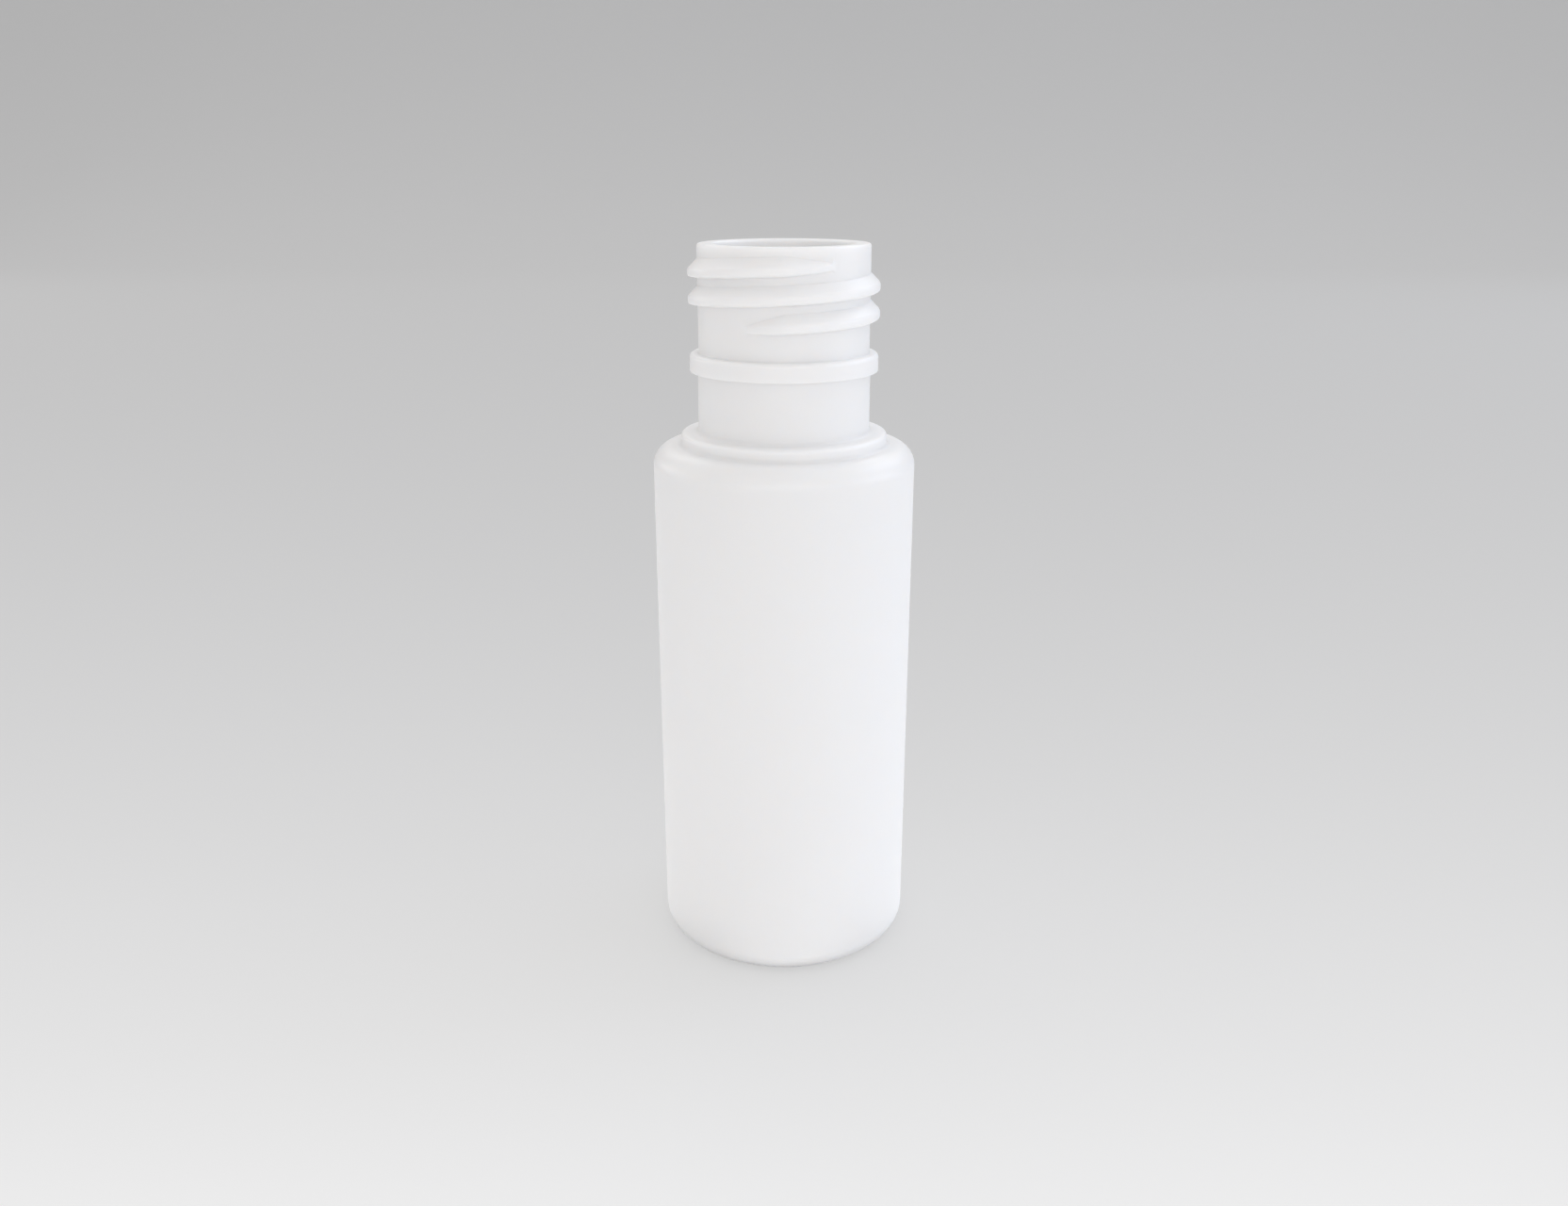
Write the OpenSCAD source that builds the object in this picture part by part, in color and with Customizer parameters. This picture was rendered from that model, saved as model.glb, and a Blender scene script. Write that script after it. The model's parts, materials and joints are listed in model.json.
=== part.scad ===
// Small round squeeze bottle in white plastic, with a tall neck that has a two-turn screw thread,
// a tamper-evident bead and a step at its foot.
// The real bottle is one moulding. It is drawn here as the zones that its mould forms, each one a
// solid of its own, and they meet face to face.
// Millimetres, +Z up, the thread's two ends face -Y. The origin is the middle of the base, on the
// surface that the bottle stands on.

/* [Body] */
// Outside diameter of the straight body
body_d = 32.8; // [30:0.1:60]
// Height of the flat shoulder above the surface that the bottle stands on
shoulder_h = 66.95; // [30:0.05:160]
// Thickness of the body's wall
wall_t = 1.2; // [0.8:0.1:1.8]
// Outside radius of the rounded heel
heel_round = 2.5; // [2:0.1:3.5]
// Outside radius of the rounded shoulder
shoulder_round = 2.5; // [2:0.1:2.9]
// Thickness of the flat shoulder
shoulder_t = 1.5; // [1:0.1:2]

/* [Base] */
// Thickness of the base
base_t = 1.4; // [0.8:0.1:3]
// Rise of the domed middle of the base
push_up = 1; // [0.2:0.1:2]
// Width of the flat ring that the bottle stands on
foot_w = 2.4; // [1:0.1:4]

/* [Neck] */
// Outside diameter of the neck below the bead
neck_d = 21.3; // [21.1:0.1:22]
// Outside diameter of the neck above the bead, where the thread stands
thread_wall_d = 21; // [20.6:0.1:21]
// Diameter of the bore through the neck
bore_d = 16.94; // [13.1:0.01:18]
// Height of the neck, from the flat shoulder to the rim
finish_h = 24.25; // [22:0.05:30]
// Radius of the rim's outer edge
rim_outer_round = 0.33; // [0.1:0.01:0.6]
// Radius of the rim's inner edge
rim_inner_round = 0.33; // [0.1:0.01:0.6]
// Radius of the bore's lower edge, inside the bottle
bore_foot_round = 0.8; // [0.2:0.1:1.2]

/* [Step at the foot of the neck] */
// Outside diameter of the step
step_d = 25.7; // [25:0.1:26.2]
// Height of the step above the flat shoulder
step_h = 1.54; // [1.2:0.01:3]
// Radius of the step's upper edge
step_edge_round = 0.46; // [0.1:0.01:0.6]
// Fillet between the step and the flat shoulder
step_foot_fillet = 0.5; // [0.1:0.01:0.54]
// Fillet between the neck and the top of the step
neck_foot_fillet = 0.58; // [0.1:0.01:0.8]
// Radius of the shoulder's inner edge, below the step
throat_round = 0.8; // [0.2:0.1:0.9]

/* [Tamper-evident bead] */
// Outside diameter of the bead
bead_d = 23.2; // [22.6:0.1:24.5]
// Height of the bead
bead_h = 2.2; // [1.2:0.01:3]
// Distance from the rim down to the top of the bead
bead_drop = 12.94; // [11:0.01:16]
// Radius of the bead's upper edge
bead_top_round = 0.5; // [0.1:0.01:0.6]
// Radius of the bead's lower edge
bead_foot_round = 0.1; // [0.05:0.01:0.5]

/* [Screw thread] */
// Outside diameter of the thread
thread_d = 23.36; // [23:0.01:23.8]
// Rise of the thread in one turn
pitch = 3.23; // [2.8:0.01:4]
// Turns of the thread at its full depth
turns = 2; // [1:1:2]
// Distance from the rim down to the thread's upper end
thread_drop = 0.97; // [0.5:0.01:2]
// Height of the thread's profile where it stands on the neck
thread_h = 2.3; // [2.1:0.01:2.6]
// Slope of the upper flank, away from square to the neck
upper_flank = 45; // [30:1:48]
// Slope of the lower flank, away from square to the neck
lower_flank = 10; // [0:1:15]
// Radius of the crest's upper edge
crest_upper_round = 0.65; // [0.2:0.01:0.7]
// Radius of the crest's lower edge
crest_lower_round = 0.33; // [0.1:0.01:0.4]
// Angle over which the thread's lower end runs out into the neck
lower_runout = 25; // [10:1:60]
// Angle over which the thread's upper end runs out into the neck
upper_runout = 33; // [10:1:60]
// Depth that is left at the tips of the thread
tip_depth = 0.05; // [0.04:0.01:0.1]

/* [Hidden] */

// White plastic
plastic = [0.93, 0.93, 0.93];
// Facets of a full circle, steps in a rounded edge, steps along the dome of the base
round_fn = 96;
arc_steps = 6;
dome_steps = 8;
// Steps of the thread in one turn, in a run-out and in a rounded edge of its crest
turn_steps = 60;
runout_steps = 6;
crest_steps = 4;
// One full turn and a right angle
full_turn = 360;
right_angle = 90;
// Direction that the thread's two ends face
front = -right_angle;

// Body
body_r = body_d / 2;
cavity_r = body_r - wall_t;
cavity_heel_round = heel_round - wall_t;
cavity_shoulder_round = shoulder_round - wall_t;
foot_inner_r = body_r - heel_round - foot_w;
base_top = heel_round + base_t;
shoulder_under = shoulder_h - shoulder_t;
shoulder_start = shoulder_under - shoulder_round;

// Neck
neck_r = neck_d / 2;
thread_wall_r = thread_wall_d / 2;
bore_r = bore_d / 2;
rim_z = shoulder_h + finish_h;
step_r = step_d / 2;
step_top = shoulder_h + step_h;
throat_r = step_r - shoulder_t;
bead_r = bead_d / 2;
bead_top = rim_z - bead_drop;
bead_bottom = bead_top - bead_h;

// Thread: its profile is measured out from the wall behind it and down from its upper root
thread_depth = thread_d / 2 - thread_wall_r;
crest_top = thread_depth * tan(upper_flank);
crest_bottom = thread_h - thread_depth * tan(lower_flank);
thread_start = rim_z - thread_drop - pitch * turns;
thread_sweep = full_turn * turns;
// Distance from each corner of the crest to the start of its rounded edge
upper_edge = crest_upper_round * tan((right_angle - upper_flank) / 2);
lower_edge = crest_lower_round * tan((right_angle - lower_flank) / 2);
// The flat inner faces of the thread touch the round neck at their middles
thread_root_r = thread_wall_r / cos(full_turn / turn_steps / 2);

// Points along an arc, from one angle to another
function arc(centre, radius, from, to, steps = arc_steps) =
    [for (i = [0:steps])
        let (angle = from + (to - from) * i / steps)
        centre + radius * [cos(angle), sin(angle)]];

// Point i of the dome in the middle of the base, lifted by rise
function dome_point(i, rise) =
    [foot_inner_r * i / dome_steps, rise + push_up * (1 - pow(i / dome_steps, 2))];

// Upper half of the thread's profile, from the neck out to the crest
upper_profile = concat(
    [[0, 0]],
    arc([thread_depth - crest_upper_round, crest_top + upper_edge],
        crest_upper_round, upper_flank - right_angle, 0, crest_steps));

// Lower half of the thread's profile, from the neck out to the crest
lower_profile = concat(
    [[0, thread_h]],
    arc([thread_depth - crest_lower_round, crest_bottom - lower_edge],
        crest_lower_round, right_angle - lower_flank, 0, crest_steps));

// How far the profile has sunk into the neck at an angle along the thread
function sink(angle) =
    (thread_depth - tip_depth) * max(0, -angle / lower_runout, (angle - thread_sweep) / upper_runout);

// Half a profile that has sunk into the neck: the same number of points on what still stands out
function sunk_half(half, depth) =
    [for (point = half)
        let (out = depth + point[0] * (1 - depth / thread_depth))
        [max(thread_root_r, thread_wall_r + out - depth), lookup(out, half)]];

// The thread's section at an angle along it, as points around its outline
function thread_ring(angle) =
    let (lower = sunk_half(lower_profile, sink(angle)),
         outline = concat(sunk_half(upper_profile, sink(angle)),
                          [for (i = [len(lower) - 1:-1:0]) lower[i]]),
         root = thread_start + pitch * angle / full_turn)
    [for (point = outline)
        [point[0] * cos(front + angle), point[0] * sin(front + angle), root - point[1]]];

// Shell or ring around the vertical axis, from its outline
module turned(outline) {
    color(plastic) rotate_extrude($fn = round_fn) polygon(outline);
}

// Rounded heel, the flat ring that the bottle stands on, and the slightly domed middle
module base() {
    turned(concat(
        [for (i = [0:dome_steps]) dome_point(i, 0)],
        arc([body_r - heel_round, heel_round], heel_round, -right_angle, 0),
        [[body_r, base_top], [cavity_r, base_top]],
        arc([cavity_r - cavity_heel_round, base_t + cavity_heel_round], cavity_heel_round,
            0, -right_angle),
        [for (i = [dome_steps:-1:0]) dome_point(i, base_t)]));
}

// Straight wall of the body
module body_wall() {
    turned([[cavity_r, base_top], [body_r, base_top],
            [body_r, shoulder_start], [cavity_r, shoulder_start]]);
}

// Rounded shoulder and its flat land, open in the middle
module shoulder() {
    turned(concat(
        [[cavity_r, shoulder_start], [body_r, shoulder_start]],
        arc([body_r - shoulder_round, shoulder_h - shoulder_round], shoulder_round, 0, right_angle),
        [[throat_r, shoulder_h]],
        arc([throat_r + throat_round, shoulder_under + throat_round], throat_round,
            2 * right_angle, 3 * right_angle),
        arc([cavity_r - cavity_shoulder_round, shoulder_under - cavity_shoulder_round],
            cavity_shoulder_round, right_angle, 0)));
}

// Step around the foot of the neck, with the fillets above and below it
module neck_step() {
    turned(concat(
        [[neck_r, shoulder_h]],
        arc([step_r + step_foot_fillet, shoulder_h + step_foot_fillet], step_foot_fillet,
            3 * right_angle, 2 * right_angle),
        arc([step_r - step_edge_round, step_top - step_edge_round], step_edge_round, 0, right_angle),
        arc([neck_r + neck_foot_fillet, step_top + neck_foot_fillet], neck_foot_fillet,
            3 * right_angle, 2 * right_angle)));
}

// Tube of the neck, with its bore and the rim that a closure seals on. The ledge between its two
// outside diameters lies under the bead
module neck() {
    turned(concat(
        [[neck_r, shoulder_h], [neck_r, bead_bottom], [thread_wall_r, bead_bottom]],
        arc([thread_wall_r - rim_outer_round, rim_z - rim_outer_round], rim_outer_round,
            0, right_angle),
        arc([bore_r + rim_inner_round, rim_z - rim_inner_round], rim_inner_round,
            right_angle, 2 * right_angle),
        arc([bore_r + bore_foot_round, shoulder_h + bore_foot_round], bore_foot_round,
            2 * right_angle, 3 * right_angle)));
}

// Bead around the neck that holds back the band of a tamper-evident closure
module tamper_bead() {
    turned(concat(
        [[thread_wall_r, bead_bottom]],
        arc([bead_r - bead_foot_round, bead_bottom + bead_foot_round], bead_foot_round,
            -right_angle, 0),
        arc([bead_r - bead_top_round, bead_top - bead_top_round], bead_top_round, 0, right_angle),
        [[thread_wall_r, bead_top]]));
}

// Right-handed thread that stands on the neck and runs out into it at both ends
module screw_thread() {
    angles = concat(
        [for (i = [0:runout_steps - 1]) lower_runout * (i / runout_steps - 1)],
        [for (i = [0:turn_steps * turns]) full_turn * i / turn_steps],
        [for (i = [1:runout_steps]) thread_sweep + upper_runout * i / runout_steps]);
    rings = [for (angle = angles) thread_ring(angle)];
    sides = len(rings[0]);
    last = len(rings) - 1;
    color(plastic) polyhedron(
        points = [for (ring = rings) each ring],
        faces = concat(
            [[for (j = [0:sides - 1]) j]],
            [for (i = [0:last - 1], j = [0:sides - 1])
                let (here = i * sides + j, along = i * sides + (j + 1) % sides)
                each [[along, here, here + sides], [along, here + sides, along + sides]]],
            [[for (j = [sides - 1:-1:0]) last * sides + j]]));
}

base();
body_wall();
shoulder();
neck_step();
neck();
tamper_bead();
screw_thread();
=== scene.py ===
import json
import math

import bmesh
import bpy
from mathutils import Matrix, Vector


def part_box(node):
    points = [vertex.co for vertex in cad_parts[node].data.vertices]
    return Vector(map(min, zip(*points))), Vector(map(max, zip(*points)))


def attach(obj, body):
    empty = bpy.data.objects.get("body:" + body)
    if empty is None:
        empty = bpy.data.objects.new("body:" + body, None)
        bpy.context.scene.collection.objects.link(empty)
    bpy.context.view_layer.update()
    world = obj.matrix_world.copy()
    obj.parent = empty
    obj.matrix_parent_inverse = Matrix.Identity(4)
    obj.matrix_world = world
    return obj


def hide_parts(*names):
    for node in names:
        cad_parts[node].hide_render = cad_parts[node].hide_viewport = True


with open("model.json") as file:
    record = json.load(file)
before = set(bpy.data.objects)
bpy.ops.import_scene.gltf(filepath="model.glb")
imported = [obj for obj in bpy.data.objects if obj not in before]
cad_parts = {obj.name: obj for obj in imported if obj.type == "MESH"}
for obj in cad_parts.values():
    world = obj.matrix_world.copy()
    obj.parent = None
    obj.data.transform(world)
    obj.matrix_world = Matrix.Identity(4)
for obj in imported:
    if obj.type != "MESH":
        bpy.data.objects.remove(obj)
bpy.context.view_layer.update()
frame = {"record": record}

# One white bottle with an open screw neck, on a pale sweep of paper under soft light.
# Metres, +Z up, the thread's two ends face -Y, as in the frame.

MM = 0.001
TURN = 2 * math.pi

# Sizes of the bottle that the frame gives, in millimetres

body_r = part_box("body_wall")[1].x / MM
shoulder_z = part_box("shoulder")[1].z / MM
neck_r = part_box("neck")[1].x / MM
rim_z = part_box("neck")[1].z / MM
bead_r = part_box("tamper_bead")[1].x / MM
bead_bottom, bead_top = (corner.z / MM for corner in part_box("tamper_bead"))
mouth = next(mount for mount in frame["record"]["mounts"] if mount["name"] == "mouth")
bore_r = mouth["dims"]["r_mm"]

# The other sizes of the bottle, in millimetres, the same as in the solids

step_z = 68.49
step_r = 12.85
thread_wall_r = 10.5
wall = 1.2
base_t = 1.4
land_t = 1.5
push_up = 1.0
foot_inner_r = 11.5

# Roundings of the edges, in millimetres, from the foot up to the rim and down again inside

dome_round = 4
heel_round = 2.5
shoulder_round = 2.5
step_foot_fillet = 0.5
step_edge_round = 0.46
neck_foot_fillet = 0.58
bead_lower_fillet = 0.12
bead_lower_round = 0.1
bead_upper_round = 0.5
bead_upper_fillet = 0.2
rim_round = 0.33
bore_foot_round = 0.8
inner_step_fillet = 0.5
throat_round = 0.8

# Sizes of the screw thread, in millimetres and radians

thread_depth = 1.18
thread_h = 2.3
pitch = 3.23
turns = 2
thread_below_rim = 0.97
thread_start = rim_z - thread_below_rim - pitch * turns
upper_flank = math.radians(45)
lower_flank = math.radians(10)
upper_round = 0.65
lower_round = 0.33
root_fillet = 0.12
lower_runout = math.radians(25)
upper_runout = math.radians(33)
tip_depth = 0.05
half_gap = (pitch - thread_h) / 2
crest_top = thread_depth * math.tan(upper_flank)
crest_bottom = thread_h - thread_depth * math.tan(lower_flank)

# The band of wall that carries the thread lies between two seams, with a narrow ring of faces at each

seam_above_bead = 1.2
seam_below_rim = 0.55
seam_ring = 0.06
seam_low = bead_top + seam_above_bead
seam_high = rim_z - seam_below_rim

# Fineness of the mesh, and the distances in metres within which points count as one

steps_round = 192
steps_arc = 8
sharp_angle = math.radians(32)
same_point = 1e-7
same_edge_point = 2e-6


# Turned shapes

def rounded_line(corners):
    """Open line in the XZ plane through (radius, height, rounding) corners, in millimetres."""
    bm = bmesh.new()
    line = [bm.verts.new((r * MM, 0, z * MM)) for r, z, _ in corners]
    for a, b in zip(line, line[1:]):
        bm.edges.new((a, b))
    places = [v.co.copy() for v in line]
    for i, (_, _, rounding) in enumerate(corners):
        if rounding:
            turn = (places[i] - places[i - 1]).angle(places[i + 1] - places[i])
            bmesh.ops.bevel(bm, geom=[line[i]], offset=rounding * MM * math.tan(turn / 2),
                            offset_type="OFFSET", segments=steps_arc, profile=0.5,
                            affect="VERTICES", material=-1)
    return bm


def dome(rise):
    """Corners along the shallow dome of the base, from its middle to the flat ring."""
    return [(foot_inner_r * i / steps_arc, rise + push_up * (1 - (i / steps_arc) ** 2), 0)
            for i in range(steps_arc + 1)]


def turned(bm):
    """Turns a line all the way round the vertical axis."""
    bmesh.ops.spin(bm, geom=bm.verts[:] + bm.edges[:], cent=(0, 0, 0), axis=(0, 0, 1), dvec=(0, 0, 0),
                   angle=TURN, steps=steps_round, use_merge=True, use_duplicate=False)
    bmesh.ops.remove_doubles(bm, verts=bm.verts[:], dist=same_point)
    return bm


def outside_line():
    """Underside, heel, side, shoulder, step, neck and bead, up to where the thread's band begins."""
    return rounded_line(dome(0)[:-1] + [
        (foot_inner_r, 0, dome_round),
        (body_r, 0, heel_round),
        (body_r, shoulder_z, shoulder_round),
        (step_r, shoulder_z, step_foot_fillet),
        (step_r, step_z, step_edge_round),
        (neck_r, step_z, neck_foot_fillet),
        (neck_r, bead_bottom, bead_lower_fillet),
        (bead_r, bead_bottom, bead_lower_round),
        (bead_r, bead_top, bead_upper_round),
        (thread_wall_r, bead_top, bead_upper_fillet),
        (thread_wall_r, seam_low, 0)])


def inside_line():
    """Rim, bore, throat, inside of the shoulder, inside wall and the floor of the bottle."""
    return rounded_line([
        (thread_wall_r, seam_high, 0),
        (thread_wall_r, rim_z, rim_round),
        (bore_r, rim_z, rim_round),
        (bore_r, shoulder_z, bore_foot_round),
        (step_r - land_t, shoulder_z, inner_step_fillet),
        (step_r - land_t, shoulder_z - land_t, throat_round),
        (body_r - wall, shoulder_z - land_t, shoulder_round - wall),
        (body_r - wall, base_t, heel_round - wall),
        (foot_inner_r, base_t, dome_round)] + dome(base_t)[-2::-1])


# Screw thread

def thread_line():
    """Section through the wall and one turn of the thread, from half a gap above it to half below."""
    return rounded_line([
        (thread_wall_r, half_gap, 0),
        (thread_wall_r, 0, root_fillet),
        (thread_wall_r + thread_depth, -crest_top, upper_round),
        (thread_wall_r + thread_depth, -crest_bottom, lower_round),
        (thread_wall_r, -thread_h, root_fillet),
        (thread_wall_r, half_gap - pitch, 0)])


def flank(out, upper):
    """Distance below the upper root at which a flank, or its rounded crest edge, stands out by out."""
    slope, rounding = (upper_flank, upper_round) if upper else (lower_flank, lower_round)
    tangent = rounding * math.tan((math.pi / 2 - slope) / 2)
    centre = thread_depth - rounding
    along = out * math.tan(slope)
    if out > thread_depth - tangent * math.cos(slope):
        edge = math.sqrt(max(0, rounding ** 2 - (out - centre) ** 2))
        along = thread_depth * math.tan(slope) + tangent - edge
    return along if upper else thread_h - along


def sunk(angle):
    """Share of its depth that the thread keeps at an angle along it."""
    lost = max(0, -angle / lower_runout, (angle - TURN * turns) / upper_runout)
    return 1 - lost * (1 - tip_depth / thread_depth)


def sink_run_outs(bm):
    """Sinks the thread into the wall at both ends. Its flanks keep their slopes as they draw together,
    and past the run-outs' tips the wall is plain."""
    lap_tolerance = 1e-4
    edge_tolerance = 1e-3
    tip_tolerance = 0.1
    plain_share = tip_depth / thread_depth * (1 - tip_tolerance)
    for v in bm.verts:
        out = math.hypot(v.co.x, v.co.y) / MM - thread_wall_r
        angle = (math.atan2(v.co.y, v.co.x) + TURN / 4) % TURN
        below = thread_start + pitch * angle / TURN - v.co.z / MM
        lap = math.floor((-half_gap - below) / pitch + 1 - lap_tolerance)
        angle += lap * TURN
        below += lap * pitch
        keep = sunk(angle)
        if keep >= 1 or min(below + half_gap, pitch - half_gap - below) < edge_tolerance:
            continue
        new_out = 0
        if keep >= plain_share:
            upper = below < (crest_top + crest_bottom) / 2
            aside = below - flank(max(0, out), upper)
            new_out = out * keep
            moved = flank(thread_depth * (1 - keep) + max(0, new_out), upper)
            moved += aside * (keep + (1 - keep) * max(0, out) / thread_depth)
            v.co.z -= (moved - below) * MM
        narrower = (thread_wall_r + new_out) / (thread_wall_r + out)
        v.co.x *= narrower
        v.co.y *= narrower


def thread_band():
    """The neck's wall between the two seams, with the thread wound round it. The winding starts below
    the thread and ends above it, so that the plain wall there is made by the same turns."""
    bm = thread_line()
    step = TURN / steps_round
    turns_below, turns_above = 1.5, 1
    first = -turns_below * TURN
    last = TURN * (turns + turns_above)
    count = round((last - first) / step)
    bmesh.ops.rotate(bm, verts=bm.verts[:], cent=(0, 0, 0),
                     matrix=Matrix.Rotation(first - TURN / 4, 3, "Z"))
    bmesh.ops.translate(bm, verts=bm.verts[:], vec=(0, 0, (thread_start + pitch * first / TURN) * MM))
    bmesh.ops.spin(bm, geom=bm.verts[:] + bm.edges[:], cent=(0, 0, 0), axis=(0, 0, 1),
                   dvec=(0, 0, pitch * MM / steps_round), angle=step * count, steps=count,
                   use_merge=False, use_duplicate=False)
    sink_run_outs(bm)
    edge = [v for v in bm.verts if v.is_boundary]
    bmesh.ops.remove_doubles(bm, verts=edge, dist=same_edge_point)
    for height, side in ((seam_low + seam_ring, "clear_inner"), (seam_high - seam_ring, "clear_outer")):
        bmesh.ops.bisect_plane(bm, geom=bm.verts[:] + bm.edges[:] + bm.faces[:], dist=same_point,
                               plane_co=(0, 0, height * MM), plane_no=(0, 0, 1), **{side: True})
    return bm


# The bottle

def piece_from(name, bm):
    """Makes a bmesh an object at the origin."""
    mesh = bpy.data.meshes.new(name)
    bm.to_mesh(mesh)
    bm.free()
    piece = bpy.data.objects.new(name, mesh)
    bpy.context.scene.collection.objects.link(piece)
    return piece


def add_shape(whole, part):
    """Puts one bmesh into another."""
    mesh = bpy.data.meshes.new("part")
    part.to_mesh(mesh)
    part.free()
    whole.from_mesh(mesh)
    bpy.data.meshes.remove(mesh)


def open_ring(bm, height):
    """Edges of the open ring that lies at a height."""
    level_tolerance = 0.01 * MM
    return [e for e in bm.edges if e.is_boundary
            and all(abs(v.co.z - height * MM) < level_tolerance for v in e.verts)]


def bottle_piece():
    """The whole moulding as one closed skin, inside and out."""
    whole = bmesh.new()
    for part in (turned(outside_line()), thread_band(), turned(inside_line())):
        add_shape(whole, part)
    for low, high in ((seam_low, seam_low + seam_ring), (seam_high - seam_ring, seam_high)):
        bmesh.ops.bridge_loops(whole, edges=open_ring(whole, low) + open_ring(whole, high))
    bmesh.ops.remove_doubles(whole, verts=whole.verts[:], dist=same_point)
    bmesh.ops.recalc_face_normals(whole, faces=whole.faces[:])
    for face in whole.faces:
        face.smooth = True
    for e in whole.edges:
        e.smooth = len(e.link_faces) == 2 and e.calc_face_angle() < sharp_angle
    piece = piece_from("bottle", whole)
    flats = piece.modifiers.new("flat faces stay flat", "WEIGHTED_NORMAL")
    flats.keep_sharp = True
    return piece


# Shader maths

class Nodes:
    """The nodes of a material or of the world. What varies in them is a Field."""

    def __init__(self, tree):
        self.tree = tree

    def node(self, kind, settings=None, **sockets):
        """Adds a node. A socket goes by its name with _ for each space, or by _ and its number."""
        made = self.tree.nodes.new(kind)
        for key, value in (settings or {}).items():
            setattr(made, key, value)
        for key, value in sockets.items():
            name = int(key[1:]) if key[0] == "_" else key.replace("_", " ")
            self.feed(made.inputs[name], value)
        return made

    def feed(self, socket, value):
        """Links a socket to a Field or to another node's output, or sets it to a constant."""
        if isinstance(value, Field):
            self.tree.links.new(value.socket, socket)
        elif isinstance(value, bpy.types.NodeSocket):
            self.tree.links.new(value, socket)
        else:
            socket.default_value = value

    def axes(self, coordinates):
        """The three numbers of a kind of coordinates, as Fields."""
        place = self.node("ShaderNodeTexCoord").outputs[coordinates]
        return [Field(self, out) for out in self.node("ShaderNodeSeparateXYZ", _0=place).outputs]

    def seen(self):
        """1 where the camera sees, also in or through something shiny, and 0 for light alone."""
        rays = self.node("ShaderNodeLightPath").outputs
        kinds = ("Is Camera Ray", "Is Glossy Ray", "Is Transmission Ray")
        return sum(Field(self, rays[kind]) for kind in kinds)


class Surface(Nodes):
    """A material, patterned in Object coordinates, which are metres."""

    def __init__(self, name):
        self.material = bpy.data.materials.new(name)
        self.material.use_nodes = True
        super().__init__(self.material.node_tree)
        self.shader = self.tree.nodes["Principled BSDF"]

    def noise(self, size_mm, detail=2.0):
        """Soft noise around 0.5 whose features are about size_mm across."""
        made = self.node("ShaderNodeTexNoise", Vector=self.node("ShaderNodeTexCoord").outputs["Object"],
                         Scale=1 / (size_mm * MM), Detail=detail)
        return Field(self, made.outputs["Fac"])

    def finish(self, **sockets):
        """Feeds the shader's sockets, which go by their names with _ for each space."""
        for key, value in sockets.items():
            self.feed(self.shader.inputs[key.replace("_", " ")], value)


class Field:
    """A number that varies, in ordinary arithmetic."""

    def __init__(self, owner, socket):
        self.owner = owner
        self.socket = socket

    def maths(self, operation, first, second=0.0):
        made = self.owner.node("ShaderNodeMath", {"operation": operation}, _0=first, _1=second)
        return Field(self.owner, made.outputs[0])

    def __add__(self, other):
        return self.maths("ADD", self, other)

    def __radd__(self, other):
        return self.maths("ADD", other, self)

    def __sub__(self, other):
        return self.maths("SUBTRACT", self, other)

    def __rsub__(self, other):
        return self.maths("SUBTRACT", other, self)

    def __mul__(self, other):
        return self.maths("MULTIPLY", self, other)

    def __rmul__(self, other):
        return self.maths("MULTIPLY", other, self)

    def __truediv__(self, other):
        return self.maths("DIVIDE", self, other)

    def __rtruediv__(self, other):
        return self.maths("DIVIDE", other, self)

    def __abs__(self):
        return self.maths("ABSOLUTE", self)

    def root(self):
        return self.maths("SQRT", self)

    def at_least(self, low):
        return self.maths("MAXIMUM", self, low)

    def fade(self, full, none):
        """1 where the number is at full, 0 where it is at none, smooth between."""
        made = self.owner.node("ShaderNodeMapRange", {"interpolation_type": "SMOOTHSTEP"},
                               Value=self, From_Min=none, From_Max=full, To_Min=0.0, To_Max=1.0)
        return Field(self.owner, made.outputs["Result"])

    def between(self, dark, light):
        """Colour from dark, where the number is 0, to light, where it is 1."""
        made = self.owner.node("ShaderNodeMix", {"data_type": "RGBA"},
                               _0=self, _6=(*dark, 1), _7=(*light, 1))
        return made.outputs[2]


# Finishes

dull_white = (0.892, 0.892, 0.894)
clean_white = (0.907, 0.907, 0.907)


def white_polyethylene():
    """Opaque white plastic from a satin mould: faint mottle, fine texture, a slightly wavy wall, a
    parting line up both sides, and a foot ring rubbed by what it stood on."""
    skin = Surface("white polyethylene")
    _, y, z = skin.axes("Object")
    mottle = skin.noise(7, detail=3)
    patches = skin.noise(2.3)
    texture = skin.noise(0.16, detail=2)
    waves = skin.noise(5.5, detail=1)
    parting = abs(y).fade(0.02 * MM, 0.11 * MM)
    rubbed = z.fade(0.0, 0.25 * MM) * skin.noise(1.1, detail=3)
    height_mm = 0.0022 * texture + 0.016 * waves + 0.02 * parting + 0.012 * rubbed
    bump = skin.node("ShaderNodeBump", Strength=1.0, Distance=MM, Height=height_mm)
    skin.finish(Base_Color=(mottle - 0.25 * rubbed).between(dull_white, clean_white),
                Roughness=0.32 + 0.06 * patches + 0.16 * rubbed,
                Normal=bump.outputs["Normal"],
                IOR=1.54,
                Subsurface_Weight=1.0,
                Subsurface_Radius=(1.0, 0.95, 0.9),
                Subsurface_Scale=1.0 * MM)
    return skin.material


# The paper's colour, the share of what is seen of it that is painted light (a glow that no lamp gives),
# and how that painted light falls away from a bright line in front of the bottle, with distances in
# metres
paper_grey = (0.66, 0.66, 0.66)
painted_light_share = 0.6
painted_light_far = 0.414
painted_light_rise = 0.0603
bright_line_y = -0.161
bright_spread = 0.6
nearest = 0.104


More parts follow.
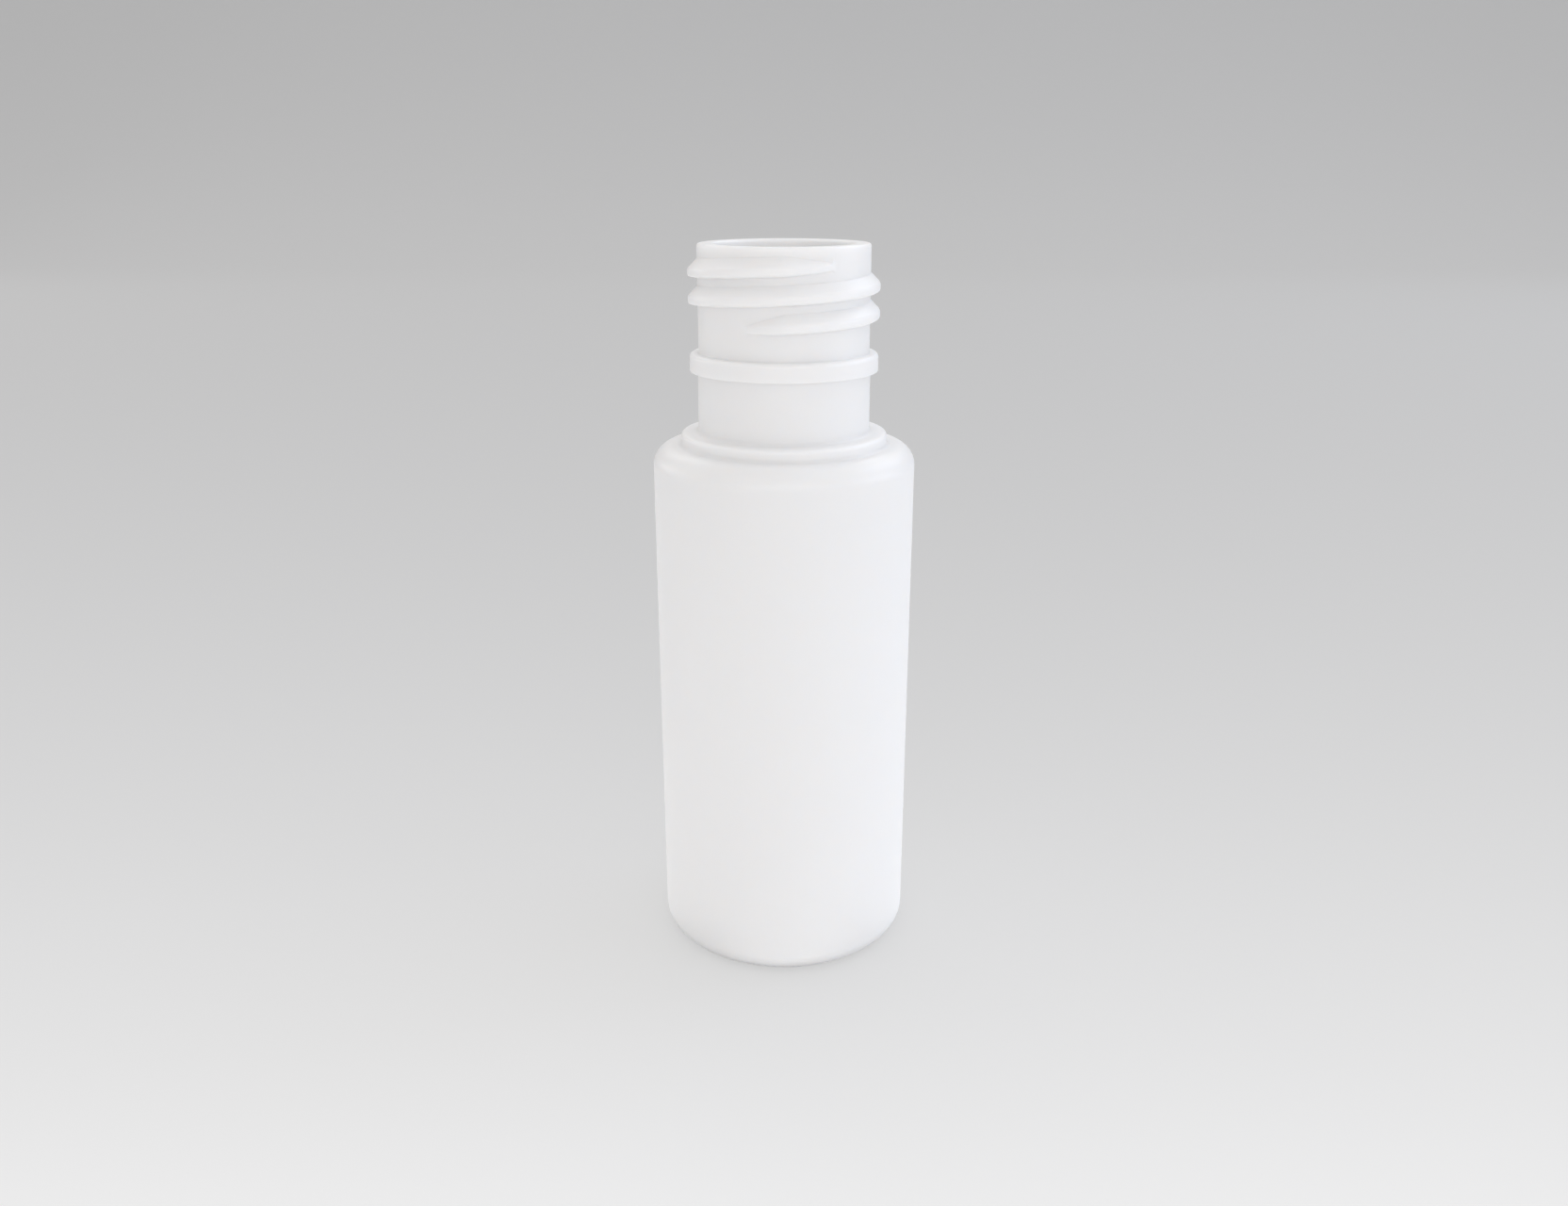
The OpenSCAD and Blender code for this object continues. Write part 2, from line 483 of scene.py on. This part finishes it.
def pale_paper():
    """Pale grey paper, partly covered by painted light: a glow seen only by the camera and in
    reflections, lightest along a line in front of the bottle and darker far out on every side. It is
    painted over the bottle's shadow too, so that the shadow stays soft."""
    paper = Surface("pale paper")
    x, y, z = paper.axes("Object")
    ahead = abs(y - bright_line_y) + z
    aside = (abs(x) - bright_spread * ahead).at_least(0.0)
    far = (ahead * ahead + aside * aside).root().at_least(nearest)
    # Painted light: a glow, brightest near the bottle, that stands in for light falling on the paper
    painted_light = paper.node("ShaderNodeEmission", Color=painted_light_far + painted_light_rise / far, Strength=1.0)
    paper.finish(Base_Color=(*paper_grey, 1), Roughness=0.9, Specular_IOR_Level=0.0)
    # The painted light is mixed over the lit paper, and so it also lightens the bottle's shadow there
    mixed = paper.node("ShaderNodeMixShader", _0=paper.seen() * painted_light_share,
                       _1=paper.shader.outputs["BSDF"], _2=painted_light.outputs["Emission"])
    paper.feed(paper.tree.nodes["Material Output"].inputs["Surface"], mixed.outputs["Shader"])
    return paper.material


# Studio, in metres, radians and watts

warm = (1.0, 0.985, 0.98)
cool = (0.74, 0.83, 1.0)
lamps_aim = Vector((0, 0, 0.07))

# Paper sweep
sweep_front = -0.9
sweep_back = 1.6
sweep_top = 0.45
sweep_half_width = 1.2
sweep_curve = 0.4
sweep_curve_steps = 24

# Light table
table_width = 0.6
table_hole = 0.034
table_lift = 0.0006
table_power = 0.078

# The room brightens between two heights in its sky, where 0 is level and 1 is straight up
low_sky = 0.3
high_sky = 0.7
low_light = 0.44
high_light = 0.828
sky_seen = 0.58

# Camera, with the photo's size in pixels and its angle of view from top to bottom
photo_w = 1664
photo_h = 1280
view_height = math.radians(50)
sensor_mm = 36
camera_tilt = 0.3238
camera_away = 0.16959
camera_aim_z = 0.0456


def paper_sweep():
    """Floor that curves up into a backdrop behind the bottle."""
    bm = bmesh.new()
    corners = ((sweep_front, 0), (sweep_back, 0), (sweep_back, sweep_top))
    line = [bm.verts.new((-sweep_half_width, y, z)) for y, z in corners]
    for a, b in zip(line, line[1:]):
        bm.edges.new((a, b))
    bmesh.ops.bevel(bm, geom=[line[1]], offset=sweep_curve, offset_type="OFFSET",
                    segments=sweep_curve_steps, profile=0.5, affect="VERTICES", material=-1)
    wide = bmesh.ops.extrude_edge_only(bm, edges=bm.edges[:])["geom"]
    far_side = [g for g in wide if isinstance(g, bmesh.types.BMVert)]
    bmesh.ops.translate(bm, verts=far_side, vec=(2 * sweep_half_width, 0, 0))
    bmesh.ops.recalc_face_normals(bm, faces=bm.faces[:])
    for face in bm.faces:
        face.smooth = True
    return piece_from("paper_sweep", bm)


def softbox(name, place, size, power, tint):
    """Soft rectangular lamp that faces the bottle and that the camera doesn't see."""
    data = bpy.data.lights.new(name, "AREA")
    data.color = tint
    data.shape = "RECTANGLE"
    data.size, data.size_y = size
    data.energy = power
    lamp = bpy.data.objects.new(name, data)
    lamp.location = place
    lamp.rotation_euler = (lamps_aim - Vector(place)).to_track_quat("-Z", "Y").to_euler()
    lamp.visible_camera = False
    bpy.context.scene.collection.objects.link(lamp)
    return lamp


def light_table():
    """Four panels that lie on the paper around the bottle, shine upwards and leave out the square
    under it."""
    panel = ((table_width + table_hole) / 2, (table_width - table_hole) / 2)
    first = Vector(((table_hole - table_width) / 4, (table_hole + table_width) / 4, table_lift))
    for quarter in range(4):
        turn = quarter * TURN / 4
        place = Matrix.Rotation(turn, 3, "Z") @ first
        lamp = softbox("light_table_%d" % quarter, place, panel, table_power, warm)
        lamp.rotation_euler = (math.pi, 0, turn)


def studio_room():
    """The room, dimmer near the floor than overhead, and no darker than a pale grey where it is seen."""
    world = bpy.data.worlds.new("studio")
    world.use_nodes = True
    sky = Nodes(world.node_tree)
    height = sky.axes("Generated")[2]
    light = low_light + (high_light - low_light) * height.fade(high_sky, low_sky)
    background = sky.tree.nodes["Background"]
    sky.feed(background.inputs["Color"], (*warm, 1))
    sky.feed(background.inputs["Strength"], (sky.seen() * sky_seen).at_least(light))
    return world


def photo_camera():
    """Camera with the photo's angle of view, in front of the bottle and looking down at its middle."""
    data = bpy.data.cameras.new("camera")
    data.sensor_width = sensor_mm
    data.lens = sensor_mm / 2 * photo_h / photo_w / math.tan(view_height / 2)
    data.clip_start = 0.01
    camera = bpy.data.objects.new("camera", data)
    camera.location = (0, -camera_away * math.cos(camera_tilt),
                       camera_aim_z + camera_away * math.sin(camera_tilt))
    camera.rotation_euler = (math.pi / 2 - camera_tilt, 0, 0)
    bpy.context.scene.collection.objects.link(camera)
    return camera


# Build

bottle = bottle_piece()
bottle.data.materials.append(white_polyethylene())
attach(bottle, "root")
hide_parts("base", "body_wall", "shoulder", "neck_step", "neck", "tamper_bead", "screw_thread")

sweep = paper_sweep()
sweep.data.materials.append(pale_paper())

# Each lamp's name, place, width and height, power and tint
softbox("softbox_behind", (0, 1.62, 1.16), (2.2, 0.7), 5.6, warm)
softbox("softbox_left_behind", (-1.25, 0.7, 0.3), (0.7, 0.4), 1.4, warm)
softbox("softbox_left_high", (-0.96, 0.6, 0.89), (0.8, 0.6), 0.42, warm)
softbox("softbox_right_high", (0.96, 0.6, 0.89), (0.8, 0.6), 2.9, cool)
softbox("softbox_right", (2.0, -0.17, 0.4), (1.67, 0.73), 8.2, cool)
softbox("softbox_front", (0, -0.9, 0.26), (1.2, 0.3), 1.97, warm)
light_table()

bpy.context.scene.world = studio_room()
bpy.context.scene.camera = photo_camera()
bpy.context.scene.view_settings.view_transform = "Standard"
